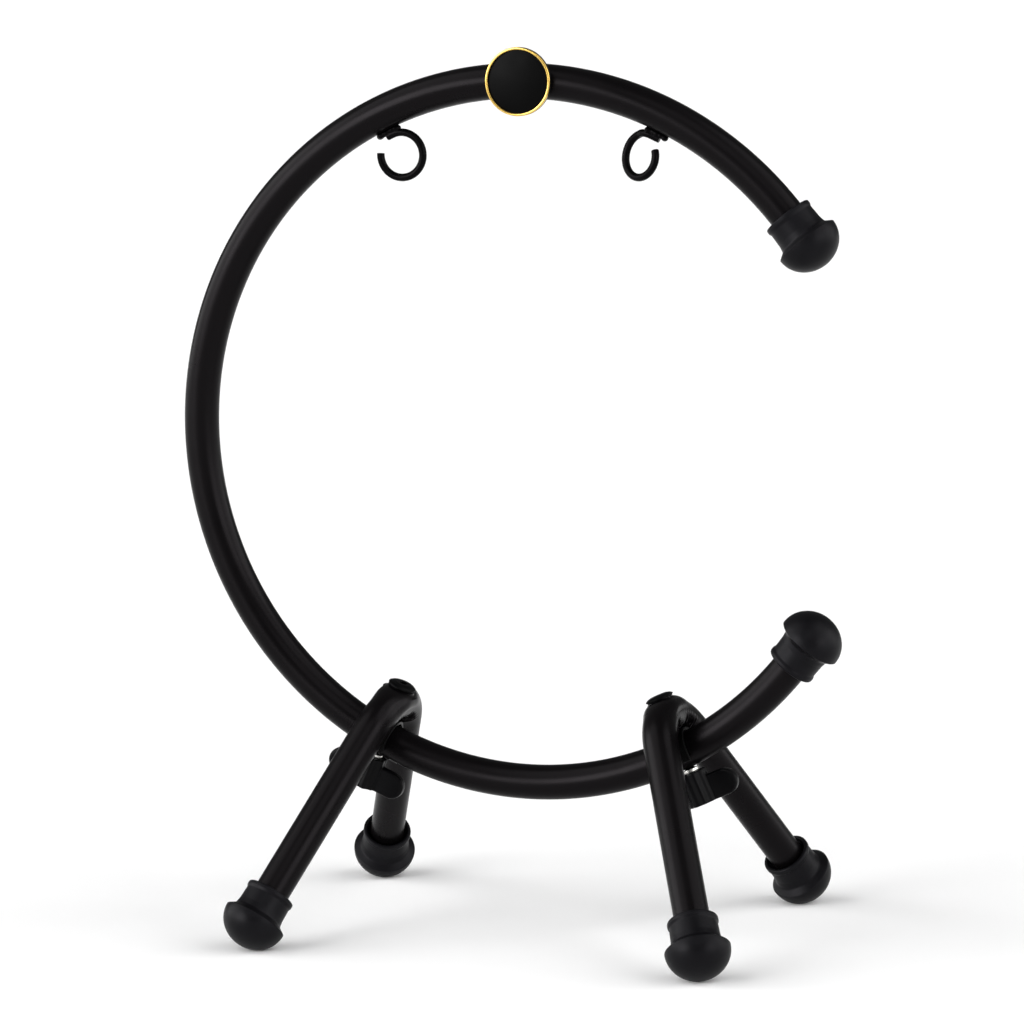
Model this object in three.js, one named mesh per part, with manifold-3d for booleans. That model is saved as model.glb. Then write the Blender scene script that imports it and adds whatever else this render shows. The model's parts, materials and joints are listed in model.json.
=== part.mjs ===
import * as THREE from 'three';
import { mergeVertices } from 'three/addons/utils/BufferGeometryUtils.js';
import Module from 'manifold-3d';

// Tube stock, millimetres
const tubeDiameter = 25;
const tubeWall = 2;
const tubeSides = 20;
const tubeBoreSides = 10;

// Ring, bent to a C that opens towards +X, its face towards -Y
const ringCentreRadius = 250;
const ringMouthAngle = 39;
const ringStepAngle = 6.2;

// Rubber tip, the same on both ends of the ring and on all four legs
const tipSocketDepth = 28;
const tipCollarRadius = 17.3;
const tipCollarLength = 19.6;
const tipLipRound = 1.5;
const tipLipInset = 0.8;
const tipLipDepth = 0.6;
const tipFlareRadius = 19;
const tipFlareDepth = 0.9;
const tipRimRadius = 23;
const tipRimEdge = 0.9;
const tipRimLength = 22.5;
const tipDomeHeight = 21;
const tipDomeSteps = 5;
const tipSides = 20;
const footPatchDepth = 0.5;

// Legs, one tube each, bent to a hairpin that straddles the ring. The clamps lean less than the ring's radius
const clampAngle = 27.2;
const clampLean = 23.9;
const legBendClearance = 14.3;
const legHalfAngle = 33.8;
const legStraight = 158.3;
const legBendSteps = 12;
const legFlatDepth = 1.6;
const legFlatRadius = 11;

// Saddle between the leg's bend and the ring
const saddleThickness = 2.2;
const saddleWidth = 18;
const saddleSag = 0.2;
const saddleFlank = 7;
const saddleSteps = 16;

// Clamp bolt with a low domed head and a hexagon socket
const boltRadius = 4;
const boltLength = 75;
const boltChamfer = 0.8;
const boltHeadRadius = 10.3;
const boltHeadRim = 2.4;
const boltHeadDome = 1.6;
const boltDomeSteps = 4;
const boltSocketFlats = 5;
const boltSocketSides = 6;
const boltSocketDepth = 2.4;
const boltHoleRadius = 4.4;
const boltSides = 20;

// Wing nut and its metal collar
const collarFlangeRadius = 6.25;
const collarFlangeHeight = 2.2;
const collarBodyRadius = 5.5;
const collarLength = 18;
const collarBoreRadius = 4.3;
const collarSides = 20;
const hubRadius = 10.6;
const hubFluteDepth = 1.1;
const hubFlutes = 8;
const hubHeight = 24.2;
const hubRound = 0.8;
const hubSides = 32;
const wingReach = 30.5;
const wingHeight = 19;
const wingThickness = 7;
const wingRound = 1.6;
const wingEndRadius = 9.5;
const wingArcSteps = 8;
const edgeRoundSteps = 2;

// Hooks, round rod welded under the ring
const hookRodRadius = 2.5;
const hookLoopRadius = 16;
const hookStandoff = 1.7;
const hookAngle = 24.4;
const hookArcStep = 13;
const hookSides = 10;
const hookTwistShare = 0.14;
const hookCurlPower = 4;
const hooks = [
  { side: -1, name: 'hook_left', tail: 4.5, opening: 61.6, twist: 0, curl: 0 },
  { side: 1, name: 'hook_right', tail: 9.5, opening: 49, twist: -27, curl: 1.1 },
];
const weldHalfLength = 7.6;
const weldHalfWidth = 3.4;
const weldHalfHeight = 3.1;
const weldDrop = 0.4;
const weldSides = 14;
const weldRings = 8;

// Badge on the front of the ring's top
const badgeAngle = 88.95;
const badgeRadius = 24;
const badgeStandoff = 0.9;
const badgeBodyDepth = 1.7;
const badgeRimWidth = 1.8;
const badgeRimDepth = 2.2;
const badgeRimRound = 0.5;
const badgeFaceDome = 1.5;
const badgeFaceEdge = 0.4;
const badgeBossRadius = 13;
const badgeBossReach = 5;
const badgeSides = 40;
const badgeDomeSteps = 4;

// Clearances
const seatGap = 0.3;
const socketGap = 0.35;
const edgeGap = 0.3;
const cutterRun = 2;
const weldTolerance = 0.0005;

const radians = THREE.MathUtils.degToRad;

// Worked out from the sizes above
const clampSkew = Math.tan(radians(clampAngle - clampLean));
const tubeRadius = tubeDiameter / 2;
const tubeBoreRadius = tubeRadius - tubeWall;
const saddleRadius = tubeRadius + seatGap + saddleSag + (saddleWidth / 2) * clampSkew;
const saddleTop = saddleRadius + saddleThickness;
const legApex = saddleTop + seatGap + tubeRadius;
const legBendRadius = saddleTop + legBendClearance + tubeRadius;
const legBendCentre = legApex - legBendRadius;
const legSeatRadius = Math.sqrt(tubeRadius ** 2 - (tubeRadius - legFlatDepth) ** 2);
const headSeat = legApex + tubeRadius - legFlatDepth + seatGap;
const collarTop = -(tubeRadius + seatGap + collarFlangeRadius * clampSkew);
const hubTop = collarTop - collarFlangeHeight - seatGap;
const hubBottom = hubTop - hubHeight;
const tipMouth = legStraight - tipRimLength;
const tubeInTip = tipSocketDepth - seatGap;
const tipBoreRadius = tubeRadius + socketGap;
const badgeBack = -(tubeRadius + badgeStandoff);
const badgeFront = badgeBack - badgeBodyDepth;

const wasm = await Module();
wasm.setup();

function closedMesh(geometry) {
  const bare = geometry.clone();
  bare.deleteAttribute('normal');
  bare.deleteAttribute('uv');
  const merged = mergeVertices(bare, weldTolerance);
  const corners = merged.index.array;
  const kept = [];
  for (let i = 0; i < corners.length; i += 3) {
    const [a, b, c] = [corners[i], corners[i + 1], corners[i + 2]];
    if (a !== b && b !== c && c !== a) {
      kept.push(a, b, c);
    }
  }
  merged.setIndex(kept);
  return merged;
}

function toSolid(geometry) {
  const merged = closedMesh(geometry);
  return new wasm.Manifold(new wasm.Mesh({
    numProp: 3,
    vertProperties: new Float32Array(merged.attributes.position.array),
    triVerts: new Uint32Array(merged.index.array),
  }));
}

function toGeometry(solid) {
  const mesh = solid.getMesh();
  const geometry = new THREE.BufferGeometry();
  geometry.setAttribute('position', new THREE.BufferAttribute(new Float32Array(mesh.vertProperties), 3));
  geometry.setIndex(Array.from(mesh.triVerts));
  return geometry;
}

function combine(base, added, removed) {
  let solid = toSolid(base);
  for (const geometry of added) {
    solid = solid.add(toSolid(geometry));
  }
  for (const geometry of removed) {
    solid = solid.subtract(toSolid(geometry));
  }
  return toGeometry(solid);
}

function circlePoints(radius, sides) {
  const points = [];
  for (let i = 0; i < sides; i += 1) {
    const turn = (i / sides) * 2 * Math.PI;
    points.push(new THREE.Vector2(radius * Math.cos(turn), radius * Math.sin(turn)));
  }
  return points;
}

function clearRadius(radius, sides) {
  return radius / Math.cos(Math.PI / sides);
}

function roundCutter(radius, low, high, sides) {
  const clear = clearRadius(radius, sides);
  const cutter = new THREE.CylinderGeometry(clear, clear, high - low, sides);
  cutter.rotateX(Math.PI / 2);
  cutter.translate(0, 0, (low + high) / 2);
  return cutter;
}

function turned(profile, sides) {
  const geometry = new THREE.LatheGeometry(profile.map(([r, z]) => new THREE.Vector2(r, z)), sides);
  geometry.rotateX(Math.PI / 2);
  return geometry;
}

// A path that is given as a list of stations, so that its steps can differ in length
class StationPath extends THREE.Curve {
  constructor(stations) {
    super();
    this.stations = stations;
  }

  stationAt(share) {
    return this.stations[Math.round(share * (this.stations.length - 1))];
  }

  getPoint(share) {
    return this.stationAt(share).point.clone();
  }

  getPointAt(share) {
    return this.stationAt(share).point.clone();
  }

  getTangentAt(share) {
    return this.stationAt(share).tangent.clone();
  }
}

function sweep(shape, stations) {
  return new THREE.ExtrudeGeometry(shape, {
    steps: stations.length - 1,
    extrudePath: new StationPath(stations),
  });
}

function ringPoint(angle, radius) {
  const turn = radians(angle);
  return new THREE.Vector3(radius * Math.cos(turn), 0, radius * Math.sin(turn));
}

function ringTangent(angle) {
  const turn = radians(angle);
  return new THREE.Vector3(-Math.sin(turn), 0, Math.cos(turn));
}

const clampAngles = [270 - clampAngle, 270 + clampAngle];

function ringArc(from, to) {
  const steps = Math.ceil((to - from) / ringStepAngle);
  const angles = [];
  for (let i = 0; i <= steps; i += 1) {
    angles.push(from + ((to - from) * i) / steps);
  }
  return angles;
}

// The ring's stations: an even arc, with one station exactly on each clamp and a close pair round it
function ringAngles() {
  const near = THREE.MathUtils.radToDeg(saddleWidth / 2 / ringCentreRadius);
  const marks = [ringMouthAngle];
  for (const clamp of clampAngles) {
    marks.push(clamp - near, clamp, clamp + near);
  }
  marks.push(360 - ringMouthAngle);
  const angles = [];
  for (let i = 0; i + 1 < marks.length; i += 1) {
    angles.push(...ringArc(marks[i], marks[i + 1]).slice(i === 0 ? 0 : 1));
  }
  return angles;
}

function ringStations() {
  const angles = ringAngles();
  const arc = angles.map((angle) => ({
    point: ringPoint(angle, ringCentreRadius),
    tangent: ringTangent(angle),
  }));
  const first = arc[0];
  const last = arc[arc.length - 1];
  const start = first.point.clone().addScaledVector(first.tangent, -tubeInTip);
  const end = last.point.clone().addScaledVector(last.tangent, tubeInTip);
  return [
    { point: start, tangent: first.tangent },
    ...arc,
    { point: end, tangent: last.tangent },
  ];
}

function tubeShape() {
  const shape = new THREE.Shape(circlePoints(tubeRadius, tubeSides));
  shape.holes.push(new THREE.Path(circlePoints(tubeBoreRadius, tubeBoreSides)));
  return shape;
}

// The solid outline of the ring tube with a gap added, for cutting what seats on it
function ringEnvelope(gap) {
  return sweep(new THREE.Shape(circlePoints(tubeRadius + gap, tubeSides)), ringStations());
}

function clampFrame(side) {
  const frame = new THREE.Group();
  frame.position.copy(ringPoint(270 + side * clampAngle, ringCentreRadius));
  frame.rotation.y = -side * radians(clampLean);
  frame.updateMatrix();
  return frame;
}

function ringTubeGeometry() {
  const cutters = [-1, 1].map((side) => {
    const cutter = roundCutter(boltHoleRadius, -tubeDiameter, tubeDiameter, boltSides);
    return cutter.applyMatrix4(clampFrame(side).matrix);
  });
  return combine(sweep(tubeShape(), ringStations()), [], cutters);
}

// Rubber tip with its mouth at zero and its dome towards +Z
function tipGeometry() {
  const profile = [
    [0, tipSocketDepth],
    [tipBoreRadius, tipSocketDepth],
    [tipBoreRadius, tipLipDepth],
    [tipBoreRadius + tipLipInset, 0],
    [tipCollarRadius - tipLipRound, 0],
    [tipCollarRadius, tipLipRound],
    [tipCollarRadius, tipCollarLength],
    [tipFlareRadius, tipRimLength - tipFlareDepth],
    [tipRimRadius - tipRimEdge, tipRimLength - tipRimEdge],
  ];
  for (let i = 0; i <= tipDomeSteps; i += 1) {
    const turn = (i / tipDomeSteps) * (Math.PI / 2);
    const radius = i === tipDomeSteps ? 0 : tipRimRadius * Math.cos(turn);
    profile.push([radius, tipRimLength + tipDomeHeight * Math.sin(turn)]);
  }
  return turned(profile, tipSides);
}

function legDirection(end) {
  const turn = radians(legHalfAngle);
  return new THREE.Vector3(0, end * Math.sin(turn), -Math.cos(turn));
}

function legBendPoint(angle, radius) {
  const turn = radians(angle);
  return new THREE.Vector3(0, radius * Math.sin(turn), legBendCentre + radius * Math.cos(turn));
}

function legStations() {
  const sweepAngle = 90 - legHalfAngle;
  const arc = [];
  for (let i = 0; i <= legBendSteps; i += 1) {
    const angle = -sweepAngle + (2 * sweepAngle * i) / legBendSteps;
    const turn = radians(angle);
    arc.push({
      point: legBendPoint(angle, legBendRadius),
      tangent: new THREE.Vector3(0, Math.cos(turn), -Math.sin(turn)),
    });
  }
  const straight = tipMouth + tubeInTip;
  const start = arc[0].point.clone().addScaledVector(legDirection(-1), straight);
  const end = arc[legBendSteps].point.clone().addScaledVector(legDirection(1), straight);
  return [
    { point: start, tangent: arc[0].tangent },
    ...arc,
    { point: end, tangent: arc[legBendSteps].tangent },
  ];
}

// Leg with its crest pressed in for the bolt head, the wall bent down under the flat
function legGeometry() {
  const crest = legApex + tubeRadius;
  const seat = crest - legFlatDepth;
  const pad = roundCutter(legSeatRadius, seat - tubeWall, seat, boltSides);
  const flat = roundCutter(legFlatRadius, seat, crest + cutterRun, boltSides);
  const hole = roundCutter(boltHoleRadius, saddleTop - cutterRun, crest + cutterRun, boltSides);
  return combine(sweep(tubeShape(), legStations()), [pad], [flat, hole]);
}

// A leg's tip, placed on its tube end in the clamp's frame
function legTipPlacement(end) {
  const direction = legDirection(end);
  const placement = new THREE.Object3D();
  const tangent = legBendPoint(end * (90 - legHalfAngle), legBendRadius);
  placement.position.copy(tangent.addScaledVector(direction, tipMouth));
  placement.quaternion.setFromUnitVectors(new THREE.Vector3(0, 0, 1), direction);
  placement.updateMatrix();
  return placement;
}

// The floor's height under the ring's centre: the domes sink into it by the pressed patch
function floorHeight() {
  const placement = legTipPlacement(1);
  const rim = new THREE.Vector3(0, 0, tipRimLength).applyMatrix4(placement.matrix);
  rim.applyMatrix4(clampFrame(1).matrix);
  const tiltCos = Math.cos(radians(legHalfAngle)) * Math.cos(radians(clampLean));
  const reach = Math.hypot(tipRimRadius * Math.sqrt(1 - tiltCos * tiltCos), tipDomeHeight * tiltCos);
  return rim.z - reach + footPatchDepth;
}

function footGeometry(side, end) {
  const matrix = clampFrame(side).matrix.clone().multiply(legTipPlacement(end).matrix);
  const toTip = matrix.clone().invert();
  const below = new THREE.BoxGeometry(2 * ringCentreRadius, 2 * ringCentreRadius, tipDomeHeight);
  const centre = new THREE.Vector3().setFromMatrixPosition(matrix);
  below.translate(centre.x, centre.y, floorHeight() - tipDomeHeight / 2);
  below.applyMatrix4(toTip);
  return combine(tipGeometry(), [], [below]);
}

function saddleGeometry() {
  const outline = [];
  for (let i = 0; i <= saddleSteps; i += 1) {
    const turn = (i / saddleSteps) * Math.PI;
    outline.push(new THREE.Vector2(saddleTop * Math.cos(turn), saddleTop * Math.sin(turn)));
  }
  outline.push(new THREE.Vector2(-saddleTop, -saddleFlank));
  outline.push(new THREE.Vector2(-saddleRadius, -saddleFlank));
  for (let i = saddleSteps; i >= 0; i -= 1) {
    const turn = (i / saddleSteps) * Math.PI;
    outline.push(new THREE.Vector2(saddleRadius * Math.cos(turn), saddleRadius * Math.sin(turn)));
  }
  outline.push(new THREE.Vector2(saddleRadius, -saddleFlank));
  outline.push(new THREE.Vector2(saddleTop, -saddleFlank));
  const strip = new THREE.ExtrudeGeometry(new THREE.Shape(outline), {
    depth: saddleWidth,
    bevelEnabled: false,
  });
  strip.translate(0, 0, -saddleWidth / 2);
  strip.rotateX(Math.PI / 2);
  strip.rotateZ(Math.PI / 2);
  const hole = roundCutter(boltHoleRadius, 0, saddleTop + cutterRun, boltSides);
  return combine(strip, [], [hole]);
}

// Bolt with the underside of its head at zero and its shank towards -Z
function boltGeometry() {
  const profile = [
    [0, -boltLength],
    [boltRadius - boltChamfer, -boltLength],
    [boltRadius, boltChamfer - boltLength],
    [boltRadius, 0],
    [boltHeadRadius, 0],
  ];
  for (let i = 0; i <= boltDomeSteps; i += 1) {
    const turn = (i / boltDomeSteps) * (Math.PI / 2);
    const radius = i === boltDomeSteps ? 0 : boltHeadRadius * Math.cos(turn);
    profile.push([radius, boltHeadRim + boltHeadDome * Math.sin(turn)]);
  }
  const top = boltHeadRim + boltHeadDome;
  const socketRadius = clearRadius(boltSocketFlats / 2, boltSocketSides);
  const socket = new THREE.CylinderGeometry(socketRadius, socketRadius, 2 * boltSocketDepth, boltSocketSides);
  socket.rotateX(Math.PI / 2);
  socket.translate(0, 0, top);
  return combine(turned(profile, boltSides), [], [socket]);
}

// Collar with the top of its flange at zero
function collarGeometry() {
  const boreRadius = clearRadius(collarBoreRadius, collarSides);
  const profile = [
    [boreRadius, -collarLength],
    [collarBodyRadius, -collarLength],
    [collarBodyRadius, -collarFlangeHeight],
    [collarFlangeRadius, -collarFlangeHeight],
    [collarFlangeRadius, 0],
    [boreRadius, 0],
    [boreRadius, -collarLength],
  ];
  return turned(profile, collarSides);
}

function roundedPrism(outline, depth, round) {
  const prism = new THREE.ExtrudeGeometry(new THREE.Shape(outline), {
    depth: depth - 2 * round,
    bevelEnabled: true,
    bevelSize: round,
    bevelThickness: round,
    bevelOffset: -round,
    bevelSegments: edgeRoundSteps,
  });
  prism.translate(0, 0, round);
  return prism;
}

function hubOutline() {
  const outline = [];
  for (let i = 0; i < hubSides; i += 1) {
    const turn = (i / hubSides) * 2 * Math.PI;
    const radius = hubRadius - (hubFluteDepth / 2) * (1 - Math.cos(hubFlutes * turn));
    outline.push(new THREE.Vector2(radius * Math.cos(turn), radius * Math.sin(turn)));
  }
  return outline;
}

function wingOutline() {
  const outline = [];
  for (const side of [1, -1]) {
    for (let i = 0; i <= wingArcSteps; i += 1) {
      const turn = (i / wingArcSteps) * Math.PI - (side * Math.PI) / 2;
      const centre = side * (wingReach - wingEndRadius);
      outline.push(new THREE.Vector2(
        centre + wingEndRadius * Math.cos(turn),
        wingEndRadius * Math.sin(turn),
      ));
    }
  }
  return outline;
}

// Wing nut in the clamp's frame, with its wings along the ring
function wingNutGeometry() {
  const hub = roundedPrism(hubOutline(), hubHeight, hubRound);
  hub.translate(0, 0, hubBottom);
  const wings = roundedPrism(wingOutline(), wingThickness, wingRound);
  wings.translate(0, 0, -wingThickness / 2);
  wings.rotateX(Math.PI / 2);
  wings.translate(0, 0, hubBottom + wingHeight / 2);
  const boreRadius = collarBoreRadius + seatGap;
  const bore = roundCutter(boreRadius, hubBottom - cutterRun, hubTop + cutterRun, collarSides);
  const pocketFloor = collarTop - collarLength - seatGap;
  const pocket = roundCutter(collarBodyRadius + seatGap, pocketFloor, hubTop + cutterRun, collarSides);
  return combine(hub, [wings], [bore, pocket]);
}

// Hook in its own frame: loop centre at zero, +Z towards the tube, tail towards -X
function hookStations(hook) {
  const sweepAngle = 360 - hook.opening;
  const steps = Math.ceil(sweepAngle / hookArcStep);
  const stations = [];
  for (let i = 0; i <= steps; i += 1) {
    const share = i / steps;
    const turn = radians(sweepAngle * share);
    const radius = hookLoopRadius - hook.curl * share ** hookCurlPower;
    const flat = new THREE.Vector3(radius * Math.sin(turn), 0, radius * Math.cos(turn));
    const twistShare = THREE.MathUtils.smoothstep(share, 0, hookTwistShare);
    flat.applyAxisAngle(new THREE.Vector3(0, 0, 1), radians(hook.twist) * twistShare);
    stations.push({ point: flat, tangent: new THREE.Vector3() });
  }
  stations.unshift({ point: new THREE.Vector3(-hook.tail, 0, hookLoopRadius), tangent: new THREE.Vector3() });
  stations.forEach((station, i) => {
    const before = stations[Math.max(i - 1, 0)].point;
    const after = stations[Math.min(i + 1, stations.length - 1)].point;
    station.tangent.subVectors(after, before).normalize();
  });
  return stations;
}

function hookFrame(hook) {
  const frame = new THREE.Group();
  const standRadius = ringCentreRadius - tubeRadius - hookStandoff - hookRodRadius - hookLoopRadius;
  frame.position.copy(ringPoint(90 - hook.side * hookAngle, standRadius));
  frame.rotation.y = hook.side * radians(hookAngle);
  frame.updateMatrix();
  return frame;
}

function hookGeometry(hook) {
  const rod = sweep(new THREE.Shape(circlePoints(hookRodRadius, hookSides)), hookStations(hook));
  const weld = new THREE.SphereGeometry(1, weldSides, weldRings);
  weld.scale(weldHalfLength, weldHalfWidth, weldHalfHeight);
  weld.translate(-hook.tail / 2, 0, hookLoopRadius + hookRodRadius - weldDrop);
  const frame = hookFrame(hook);
  const envelope = ringEnvelope(seatGap);
  if (hook.side > 0) {
    rod.rotateZ(Math.PI);
    weld.rotateZ(Math.PI);
  }
  envelope.applyMatrix4(frame.matrix.clone().invert());
  return combine(rod, [weld], [envelope]);
}

// Badge pieces in the badge's frame: centre on the tube's axis, front towards -Y
function frontTurned(profile) {
  const geometry = new THREE.LatheGeometry(profile.map(([r, y]) => new THREE.Vector2(r, y)), badgeSides);
  return geometry;
}

function badgeFrame() {
  const frame = new THREE.Group();
  frame.position.copy(ringPoint(badgeAngle, ringCentreRadius));
  frame.updateMatrix();
  return frame;
}

function badgeBodyGeometry() {
  const disc = frontTurned([
    [0, badgeFront],
    [badgeRadius, badgeFront],
    [badgeRadius, badgeBack],
    [badgeBossRadius, badgeBack],
    [badgeBossRadius, badgeBack + badgeBossReach],
    [0, badgeBack + badgeBossReach],
  ]);
  const envelope = ringEnvelope(seatGap);
  envelope.applyMatrix4(badgeFrame().matrix.clone().invert());
  return combine(disc, [], [envelope]);
}

function badgeRimGeometry() {
  const back = badgeFront - seatGap;
  const front = back - badgeRimDepth;
  const inner = badgeRadius - badgeRimWidth;
  return frontTurned([
    [inner, back],
    [inner, front + badgeRimRound],
    [inner + badgeRimRound, front],
    [badgeRadius - badgeRimRound, front],
    [badgeRadius, front + badgeRimRound],
    [badgeRadius, back],
    [inner, back],
  ]);
}

function badgeFaceGeometry() {
  const back = badgeFront - seatGap;
  const radius = badgeRadius - badgeRimWidth - edgeGap;
  const profile = [];
  for (let i = 0; i <= badgeDomeSteps; i += 1) {
    const share = i / badgeDomeSteps;
    profile.push([radius * share, back - badgeFaceEdge - badgeFaceDome * (1 - share * share)]);
  }
  profile.push([radius, back], [0, back]);
  return frontTurned(profile);
}

const finishes = {
  coatBlack: { color: 0x16161a, metalness: 0.35, roughness: 0.55 },
  rubberBlack: { color: 0x1b1b1d, metalness: 0, roughness: 0.75 },
  plasticBlack: { color: 0x202023, metalness: 0, roughness: 0.6 },
  zinc: { color: 0xd9dbde, metalness: 0.9, roughness: 0.25 },
  boltBlack: { color: 0x101012, metalness: 0.6, roughness: 0.45 },
  gold: { color: 0xd9ad4e, metalness: 1, roughness: 0.25 },
  gloss: { color: 0x060607, metalness: 0, roughness: 0.08 },
};

function piece(name, geometry, finish) {
  const facets = geometry.index ? geometry.toNonIndexed() : geometry;
  facets.computeVertexNormals();
  const mesh = new THREE.Mesh(facets, new THREE.MeshStandardMaterial(finishes[finish]));
  mesh.name = name;
  return mesh;
}

const group = new THREE.Group();
group.name = 'gong_stand';
const stand = new THREE.Group();
stand.name = 'stand';
group.add(stand);

stand.add(piece('ring_tube', ringTubeGeometry(), 'coatBlack'));

const ringEnds = [
  { name: 'ring_cap_upper', angle: ringMouthAngle, along: -1 },
  { name: 'ring_cap_lower', angle: 360 - ringMouthAngle, along: 1 },
];
for (const ringEnd of ringEnds) {
  const cap = piece(ringEnd.name, tipGeometry(), 'rubberBlack');
  cap.position.copy(ringPoint(ringEnd.angle, ringCentreRadius));
  const direction = ringTangent(ringEnd.angle).multiplyScalar(ringEnd.along);
  cap.quaternion.setFromUnitVectors(new THREE.Vector3(0, 0, 1), direction);
  stand.add(cap);
}

for (const hook of hooks) {
  const frame = hookFrame(hook);
  frame.add(piece(hook.name, hookGeometry(hook), 'coatBlack'));
  stand.add(frame);
}

const badge = badgeFrame();
badge.add(piece('badge_body', badgeBodyGeometry(), 'plasticBlack'));
badge.add(piece('badge_rim', badgeRimGeometry(), 'gold'));
badge.add(piece('badge_face', badgeFaceGeometry(), 'gloss'));
stand.add(badge);

const sides = [
  { label: 'left', side: -1 },
  { label: 'right', side: 1 },
];
const ends = [
  { label: 'front', end: -1 },
  { label: 'rear', end: 1 },
];
for (const { label, side } of sides) {
  const clamp = clampFrame(side);
  clamp.add(piece(`leg_${label}`, legGeometry(), 'coatBlack'));
  for (const { label: endLabel, end } of ends) {
    const foot = piece(`foot_${label}_${endLabel}`, footGeometry(side, end), 'rubberBlack');
    const placement = legTipPlacement(end);
    foot.position.copy(placement.position);
    foot.quaternion.copy(placement.quaternion);
    clamp.add(foot);
  }
  clamp.add(piece(`saddle_${label}`, saddleGeometry(), 'plasticBlack'));
  const bolt = piece(`bolt_${label}`, boltGeometry(), 'boltBlack');
  bolt.position.z = headSeat;
  clamp.add(bolt);
  clamp.add(piece(`wing_nut_${label}`, wingNutGeometry(), 'plasticBlack'));
  const collar = piece(`nut_collar_${label}`, collarGeometry(), 'zinc');
  collar.position.z = collarTop;
  clamp.add(collar);
  stand.add(clamp);
}

// Origin at the middle of the base
stand.updateMatrixWorld(true);
const bounds = new THREE.Box3().setFromObject(stand, true);
const middle = bounds.getCenter(new THREE.Vector3());
stand.position.set(-middle.x, -middle.y, -bounds.min.z);

export default group;
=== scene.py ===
import json
import math

import bmesh
import bpy
from mathutils import Matrix, Vector


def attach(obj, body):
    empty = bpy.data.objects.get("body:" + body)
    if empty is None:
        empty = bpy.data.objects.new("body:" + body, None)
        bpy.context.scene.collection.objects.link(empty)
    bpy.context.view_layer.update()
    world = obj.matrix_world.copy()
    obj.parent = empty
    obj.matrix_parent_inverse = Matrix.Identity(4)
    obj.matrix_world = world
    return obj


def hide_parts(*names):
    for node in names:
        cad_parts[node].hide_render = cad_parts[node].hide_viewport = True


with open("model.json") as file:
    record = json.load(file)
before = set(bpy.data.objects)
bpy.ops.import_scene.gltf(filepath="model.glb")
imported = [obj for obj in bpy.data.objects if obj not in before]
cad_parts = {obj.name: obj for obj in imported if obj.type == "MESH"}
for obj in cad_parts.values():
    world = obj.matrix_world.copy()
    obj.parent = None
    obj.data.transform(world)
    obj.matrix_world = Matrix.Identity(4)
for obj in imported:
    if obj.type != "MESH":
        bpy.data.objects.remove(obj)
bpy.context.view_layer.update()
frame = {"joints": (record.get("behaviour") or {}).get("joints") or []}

MM = 0.001
FLOAT = "NodeSocketFloat"
WHOLE = "NodeSocketInt"
FINISH = "NodeSocketMaterial"

# Faces thinner than this are welded shut
SLIVER = 0.003 * MM

# Lengths below this count as nothing
TINY = 1e-7

# How finely rounds are cut
FILLET_STEPS = 5
CUTTER_SIDES = 48
ROUND_SIDES = 96

# Gap between a moulded pocket and the metal in it
POCKET_GAP = 0.3 * MM

# Tube stock and ring
TUBE_RADIUS = 12.5 * MM
TUBE_WALL = 2 * MM
TUBE_SIDES = 72
RING_RADIUS = 250 * MM
RING_MOUTH_ANGLE = math.radians(39)
RING_STEPS = 420
RING_BORE_STEPS = 200
BORE_SIDES = 32
TUBE_IN_TIP = 27.7 * MM

# Solid copy of the ring's left part and top that cuts the welds and the badge to its round
CORE_HALF_ANGLE = 2.0
CORE_STEPS = 260

# Rubber tips
TIP_BORE_RADIUS = 12.85 * MM
TIP_SOCKET_DEPTH = 28 * MM
TIP_COLLAR_RADIUS = 17.25 * MM
TIP_BEAD_RADIUS = 17.8 * MM
TIP_FUNNEL_RADIUS = 15.3 * MM
TIP_FUNNEL_DEPTH = 3.4 * MM
TIP_RIM_LENGTH = 22.5 * MM
TIP_RIM_RADIUS = 23 * MM
TIP_DOME_HEIGHT = 21 * MM
TIP_DOME_STEPS = 28
TIP_SIDES = 112

# Clamps on the ring
CLAMP_ANGLE = math.radians(27.2)
NUT_PIN_DEPTH = 27.5 * MM

# Legs
LEG_BEND_RADIUS = 42.52 * MM
LEG_HALF_ANGLE_OF_BEND = math.radians(56.2)
LEG_STRAIGHT = 158.3 * MM
LEG_STEPS = 620
LEG_BORE_STEPS = 160
LEG_APEX = 28.52 * MM

# Crest of the bend, pressed flat under the bolt head, with the shoulders that bulge beside it
LEG_CREST_DEPTH = 1.6 * MM
LEG_CREST_SOFTNESS = 0.35
LEG_SEAT_RADIUS = 5.7 * MM
LEG_SHOULDER = 1.8 * MM
LEG_SHOULDER_START = 5 * MM
LEG_SHOULDER_END = 22 * MM
CREST_SKIN = 0.02 * MM

# Rim of metal pressed up round the bolt head
SEAT_FLARE_INNER = 9 * MM
SEAT_FLARE_DROP = 3 * MM
SEAT_FLARE_REACH = 3.2 * MM
SEAT_FLARE_TUCK = 0.3 * MM
SEAT_FLARE_STEPS = 6

# Ripples on the bend's inner side
RIPPLE_HEIGHT = 1.5 * MM
RIPPLE_PITCH = 2.7 * MM
RIPPLE_HALF_ANGLE = math.radians(44)

# Saddles
SADDLE_INNER_RADIUS = 13.52 * MM
SADDLE_OUTER_RADIUS = 15.72 * MM
SADDLE_WIDTH = 18 * MM
SADDLE_FLANK = 7 * MM
SADDLE_EASE = 0.5 * MM
SADDLE_STEPS = 48
SADDLE_LIP_STEPS = 8

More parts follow.
